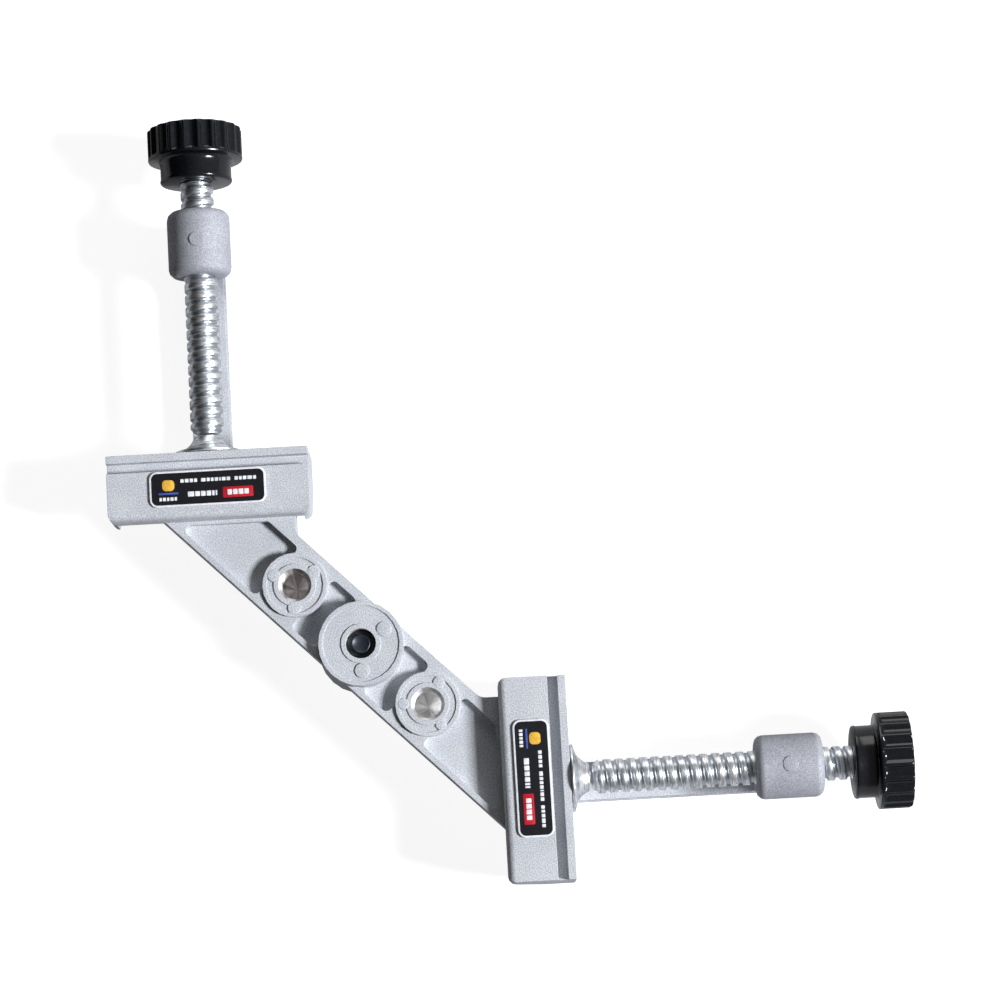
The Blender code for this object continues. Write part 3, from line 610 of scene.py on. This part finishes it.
# %% [markdown]
# ## Fluted knobs
# A knob is one moulding: a plain hub, and a rim with twenty scooped flutes for the fingers. The
# flutes could be cut with twenty cylinders, but cutting leaves knife-sharp ridges. Here the
# turned knob is pressed in instead: each point of the rim moves inwards to the round of the
# nearest flute, and a soft minimum keeps the ridges rounded, so they catch a thin highlight.
# %% Turn a knob and press in its flutes
FLUTES = 20
FLUTE_RADIUS = 3.05
FLUTE_DEPTH = 1.5
RIM_RADIUS = 20
RIM_START, FLUTE_START, KNOB_END = 210.2, 211.4, 224.0
FLUTE_RUN_IN = 1.6
RIDGE_SOFTNESS = 0.7
INSIDE_FLUTES = 16.5
knob_outline = [(0, 222.4), (10.9, 222.4), (11.5, 222.6), (12.7, 223.8), (13.3, KNOB_END)]
knob_outline += [(16, KNOB_END)] + arc(18.8, 222.8, 1.2, 90, 0, 8)
knob_outline += [(RIM_RADIUS, level) for level in (221, 219, 217, 215, 213.6, 212.8, 212.2)]
knob_outline += [(RIM_RADIUS, 211.8), (RIM_RADIUS, 211.4), (RIM_RADIUS, 210.8)]
knob_outline += [(19.8, 210.35), (19.4, RIM_START), (16.3, RIM_START), (15.6, 209.9)]
knob_outline += [(15.1, 209.2), (15, 208), (15, 202.4), (15.25, 201.7), (15.2, 201.1)]
knob_outline += [(14.8, 200.6), (14.1, 200.4), (5.3, 200.4), (5.3, 214.4), (0, 214.4)]


def pressed_radius(across, angle):
    """The radius that a rim point has once the nearest flute is pressed in."""
    ring = RIM_RADIUS + FLUTE_RADIUS - FLUTE_DEPTH
    share = math.tau / FLUTES
    off = (angle + share / 2) % share - share / 2
    inside = max(FLUTE_RADIUS**2 - (ring * math.sin(off)) ** 2, 0)
    scooped = ring * math.cos(off) - math.sqrt(inside)
    meet = max(RIDGE_SOFTNESS - abs(across - scooped), 0) / RIDGE_SOFTNESS
    return min(across, scooped) - meet * meet * RIDGE_SOFTNESS / 4


for letter, place in axis_places.items():
    shape = turned(knob_outline, FLUTES * 24)
    for point in shape.verts:
        across = point.co.to_2d().length
        if across > INSIDE_FLUTES and point.co.z > FLUTE_START:
            run_in = min((point.co.z - FLUTE_START) / FLUTE_RUN_IN, 1)
            strength = math.sqrt(1 - (1 - run_in) ** 2)
            pressed = pressed_radius(across, math.atan2(point.co.y, point.co.x))
            point.co.xy *= 1 + strength * (pressed / across - 1)
    add_piece(
        "knob_fluted_" + letter, shape, place, "screw_" + letter,
        [knob_finish], ["knob_" + letter],
    )

# %% [markdown]
# ## The plug in the middle boss
# A black nylon plug closes the middle bore. A button stands on its flat ring, so a deep, dark
# ring shows round it, and the button's top is dished, which catches the light on the side away
# from the lamp. Nylon is duller than the knobs, with a fine grain.
# %% Turn the plug
plug_finish, tree, shader = new_finish("black_nylon", IOR=1.53, Metallic=0.0)
spot = add_node(tree, "ShaderNodeTexCoord").outputs["Object"]
grain = noise(tree, spot, 0.5, 3.0)
tree.links.new(
    blend_colours(tree, grain, "#1A2028", "#252D37", 0.3, 0.7), shader.inputs["Base Color"]
)
tree.links.new(between(tree, grain, 0.3, 0.42), shader.inputs["Roughness"])
plug_outline = [(0, 43.5), (1.2, 43.58), (2.3, 43.82), (3.1, 44.1), (3.4, 44.24), (3.6, 44.3)]
plug_outline += [(3.8, 44.22), (3.9, 44.0), (3.9, 41.6), (4.1, 41.3), (5.75, 41.3), (5.95, 41.1)]
plug_outline += [(5.95, 38.3), (0, 38.3)]
plug_place = to_metres @ Matrix.Translation(BOSS_PLACE)
add_piece(
    "plug", turned(plug_outline, 56), plug_place, "frame",
    [plug_finish], ["centre_plug"],
)

# %% [markdown]
# ## Printed badges
# A badge is a thin plate of black enamel with a fine white border, stuck on the jaw block. It
# carries a plain pattern: a dot over a line, and rows of small blocks, one of them on red. The
# print could be drawn by a network of nodes, but flat plates of ink keep their edges crisp
# however near the eye comes.
# %% Inks
def ink(name, colour, worn, roughness=0.3):
    """Printing ink or enamel, mottled very slightly between two hex colours."""
    material, tree, shader = new_finish(name, IOR=1.5, Roughness=roughness)
    spot = add_node(tree, "ShaderNodeTexCoord").outputs["Object"]
    mottle = noise(tree, spot, 1.4, 4.0)
    tree.links.new(
        blend_colours(tree, mottle, worn, colour, 0.3, 0.6), shader.inputs["Base Color"]
    )
    return material


black_enamel = ink("black_enamel", "#101015", "#17171D", 0.35)
inks = {
    "white": ink("white_ink", "#F4F5F7", "#DDDFE4"),
    "red": ink("red_ink", "#C9202F", "#B51B2A"),
    "amber": ink("amber_ink", "#F0BE4B", "#DDA838"),
    "blue": ink("blue_ink", "#4A5FB0", "#3C4F9C"),
}
print("inks:", sorted(inks))

# %% [markdown]
# Every plate, from the badge itself to its smallest block, is one rounded rectangle. It starts
# as a single face. Its corners are bevelled, it is drawn upwards into a solid, and then its
# upper edge is bevelled too, so that it catches a thin line of light.
# %% Plates with round corners
def rounded_plate(length, width, corner, thickness, edge):
    """A plate that lies on the XY plane, with round corners and a softened upper edge."""
    shape = bmesh.new()
    size = Matrix.Diagonal((length / 2, width / 2, 1, 1))
    bmesh.ops.create_grid(shape, x_segments=1, y_segments=1, size=1, matrix=size)
    bmesh.ops.bevel(
        shape, geom=shape.verts[:], offset=corner, segments=8, profile=0.5,
        affect="VERTICES", material=-1,
    )
    raised = bmesh.ops.extrude_face_region(shape, geom=shape.faces[:], use_keep_orig=True)
    up = [item for item in raised["geom"] if isinstance(item, bmesh.types.BMVert)]
    bmesh.ops.translate(shape, verts=up, vec=(0, 0, thickness))
    bmesh.ops.recalc_face_normals(shape, faces=shape.faces)
    rim = [e for e in shape.edges if all(v.co.z > thickness / 2 for v in e.verts)]
    bmesh.ops.bevel(
        shape, geom=rim, offset=edge, segments=2, profile=0.5, affect="EDGES", material=-1
    )
    return shape


sample = rounded_plate(10, 5, 1, 1, 0.2)
print("a sample plate has", len(sample.faces), "faces")
sample.free()

# %% [markdown]
# The print is a list of plates: ink, place along and across the badge, length, width and corner.
# The small white blocks stand side by side in runs, so a helper works out the place of each.
# The last run is the one on the red plate.
# %% List the print
BLOCK_GAP, BLOCK_CORNER = 0.42, 0.25
prints = [("amber", -16.3, 1.5, 5.0, 4.6, 1.6), ("blue", -16.3, -1.9, 8.2, 0.8, 0.2)]
prints += [("red", 12.6, -2.5, 12.6, 4.4, 0.5)]


def add_run(start, lengths, along, height):
    """List small white blocks side by side, from a start onwards."""
    across = start
    for length in lengths:
        prints.append(("white", across + length / 2, along, length, height, BLOCK_CORNER))
        across += length + BLOCK_GAP


add_run(-20.2, [1.0, 1.3, 1.0, 1.3, 1.0], -4.2, 1.5)
add_run(-11.2, [1.4, 1.6, 1.4, 1.3], 3.2, 1.5)
add_run(-2.6, [1.9, 1.3, 1.2, 1.5, 0.6, 1.6, 1.5], 3.2, 1.5)
add_run(11.3, [1.4, 1.2, 1.5, 1.9, 1.3], 3.2, 1.5)
add_run(-8.3, [2.6, 2.0, 1.9, 1.9, 1.0, 0.7], -2.5, 2.1)
ON_RED = len(prints)
add_run(8.2, [1.8, 1.9, 2.0, 1.84], -2.5, 2.2)
print("the print has", len(prints), "plates,", len(prints) - ON_RED, "of them on red")

# %% [markdown]
# Each badge is a plate whose top is inset, which leaves a rim for the white border. The prints
# lie on it, and those on the red plate lie one layer of ink higher. Both badges are printed
# alike, and then each is turned to lie along its own jaw.
# %% Print and place both badges
BADGE_TOP = 51.1
BADGE_LENGTH, BADGE_WIDTH, BADGE_THICKNESS = 48.4, 15.0, 0.8
BADGE_CORNER, BADGE_EDGE = 3.3, 0.2
BADGE_REACH = 68.1
BORDER = 0.6
INK = 0.03
badge_materials = [black_enamel] + list(inks.values())
badge_spots = {
    "x": ((BADGE_REACH, -AXIS_OFFSET), -90),
    "y": ((-AXIS_OFFSET, BADGE_REACH), 0),
}
for letter, (centre, turn) in badge_spots.items():
    badge = rounded_plate(BADGE_LENGTH, BADGE_WIDTH, BADGE_CORNER, BADGE_THICKNESS, BADGE_EDGE)
    top = [face for face in badge.faces if face.normal.z > 0.99]
    bmesh.ops.inset_region(badge, faces=top, thickness=BORDER)
    for face in badge.faces:
        face.material_index = 1 if face not in top and face.normal.z > -0.5 else 0
    for index, (colour, across, along, length, width, corner) in enumerate(prints):
        bar = rounded_plate(length, width, corner, INK, INK / 4)
        layer = Vector((across, along, BADGE_THICKNESS + (INK if index >= ON_RED else 0)))
        bmesh.ops.translate(bar, verts=bar.verts, vec=layer)
        for face in bar.faces:
            face.material_index = 1 + list(inks).index(colour)
        join_shape(badge, bar)
    lift = Vector((*centre, BADGE_TOP - BADGE_THICKNESS))
    seat = Matrix.Translation(BOSS_PLACE + lift) @ Matrix.Rotation(math.radians(turn), 4, "Z")
    add_piece(
        "printed_badge_" + letter, badge, to_metres @ seat, "frame",
        badge_materials, ["badge_" + letter],
    )

# %% [markdown]
# ## Floor and room
# The clamp lies on a pale sheet of paper. More light would turn it white, but it would bleach
# the metal too. Instead the floor glows for the camera, and a little for the metal's reflections.
# From here on, lengths are in metres.
# %% Pale floor
CAMERA_GLOW, REFLECTED_GLOW = 0.9, 0.12
FLOOR_RADIUS, FLOOR_DROP = 4, 0.0002
sweep, tree, shader = new_finish("white_paper", Roughness=0.9, IOR=1.4)
spot = add_node(tree, "ShaderNodeTexCoord").outputs["Object"]
tree.links.new(
    blend_colours(tree, noise(tree, spot, 0.8, 4.0), "#98989A", "#A2A2A4", 0.3, 0.7),
    shader.inputs["Base Color"],
)
rays = add_node(tree, "ShaderNodeLightPath").outputs
clear = add_node(
    tree, "ShaderNodeMath",
    {0: rays["Is Camera Ray"], 1: rays["Is Transmission Ray"]}, operation="MAXIMUM",
).outputs[0]
bright_floor = add_node(
    tree, "ShaderNodeMath", {0: clear, 1: CAMERA_GLOW}, operation="MULTIPLY"
).outputs[0]
glow = add_node(
    tree, "ShaderNodeMath",
    {0: rays["Is Glossy Ray"], 1: REFLECTED_GLOW, 2: bright_floor}, operation="MULTIPLY_ADD",
).outputs[0]
shader.inputs["Emission Color"].default_value = (1, 1, 1, 1)
tree.links.new(glow, shader.inputs["Emission Strength"])
floor_shape = bmesh.new()
bmesh.ops.create_circle(floor_shape, cap_ends=True, segments=96, radius=FLOOR_RADIUS)
bmesh.ops.translate(floor_shape, verts=floor_shape.verts, vec=(0, 0, -FLOOR_DROP))
floor_mesh = bpy.data.meshes.new("floor")
floor_shape.to_mesh(floor_mesh)
floor_shape.free()
floor_mesh.materials.append(sweep)
floor = bpy.data.objects.new("floor", floor_mesh)
bpy.context.scene.collection.objects.link(floor)
print("the floor is", round(floor.dimensions.x, 2), "m across")

# %% [markdown]
# The world stands for the room. It is dim, so it fills the shadows only a little, and the sunken
# bays read as dark. An image of a room could wrap round the scene, but two ramps are enough:
# shiny metal sees the room as paler on the lamp's side, as it would be near a window.
# %% Room that the metal sees
world = bpy.data.worlds.new("pale_room")
bpy.context.scene.world = world
world.use_nodes = True
tree = world.node_tree
rays = add_node(tree, "ShaderNodeLightPath").outputs
direction = add_node(tree, "ShaderNodeTexCoord").outputs["Generated"]
sides = add_node(tree, "ShaderNodeSeparateXYZ", {"Vector": direction}).outputs
room_tone = blend_colours(tree, sides["Z"], "#2B2826", "#302D2B", 0.05, 0.95)
from_the_right = add_node(
    tree, "ShaderNodeMapRange", {"Value": sides["X"], "From Min": -0.5, "From Max": 0.5}
).outputs["Result"]
window_tone = blend_colours(tree, from_the_right, "#201E1C", "#9A9B9C")
seen_room = add_node(
    tree, "ShaderNodeMix",
    {0: rays["Is Glossy Ray"], 6: room_tone, 7: window_tone}, data_type="RGBA",
).outputs[2]
tone = add_node(
    tree, "ShaderNodeMix",
    {0: rays["Is Camera Ray"], 6: seen_room, 7: (1, 1, 1, 1)}, data_type="RGBA",
).outputs[2]
tree.links.new(tone, tree.nodes["Background"].inputs["Color"])
print("room:", len(tree.nodes), "nodes")

# %% [markdown]
# ## Lamps
# One large soft lamp stands far off to the right, like a window, and throws the shadows to the
# left. A weak, broad one at the back puts glints in the bores. More lamps would fill the
# shadows and flatten the casting.
# %% Lamps
def add_lamp(name, place, aim, size, power, colour):
    """A square soft lamp that points at a place."""
    light = bpy.data.lights.new(name, "AREA")
    light.shape = "SQUARE"
    light.size = size
    light.energy = power
    light.color = linear(colour)[:3]
    lamp = bpy.data.objects.new(name, light)
    lamp.location = place
    lamp.rotation_euler = (Vector(aim) - Vector(place)).to_track_quat("-Z", "Y").to_euler()
    bpy.context.scene.collection.objects.link(lamp)
    print(name, "is", round((Vector(aim) - Vector(place)).length, 2), "m away")


add_lamp("key_from_the_right", (3.9, -1.0, 3.58), (0, 0, 0.03), 1.08, 455, "#F8FAFF")
add_lamp("glint_from_the_back", (0.25, 2.3, 1.0), (0, 0, 0.03), 1.5, 16, "#FFFFFF")

# %% [markdown]
# ## Camera
# The camera looks almost straight down from a metre and a half, through a long lens, which
# keeps the two clamps nearly parallel. It stands a little below the middle of the picture, so
# the sides that face it just show.
# %% Camera
CAMERA_PLACE = Vector((-0.0134, -0.2196, 1.4881))
LOOKING = Vector((0.0078, 0.1491, -0.9888)).normalized()
PICTURE_UP = Vector((0.0556, 0.9872, 0.1493))
camera_data = bpy.data.cameras.new("camera")
camera_data.sensor_width = 36
camera_data.lens = 127.35
camera_data.clip_start = 0.05
camera = bpy.data.objects.new("camera", camera_data)
right = LOOKING.cross(PICTURE_UP).normalized()
turn = Matrix((right, right.cross(LOOKING), -LOOKING)).transposed().to_4x4()
camera.matrix_world = Matrix.Translation(CAMERA_PLACE) @ turn
bpy.context.scene.collection.objects.link(camera)
bpy.context.scene.camera = camera
bpy.context.scene.view_settings.view_transform = "Standard"
print("camera stands", round(camera.matrix_world.translation.length, 2), "m from the clamp")

# %% [markdown]
# ## Last look
# The view layer is brought up to date, so every piece stands in its place.
# %% Finish
bpy.context.view_layer.update()
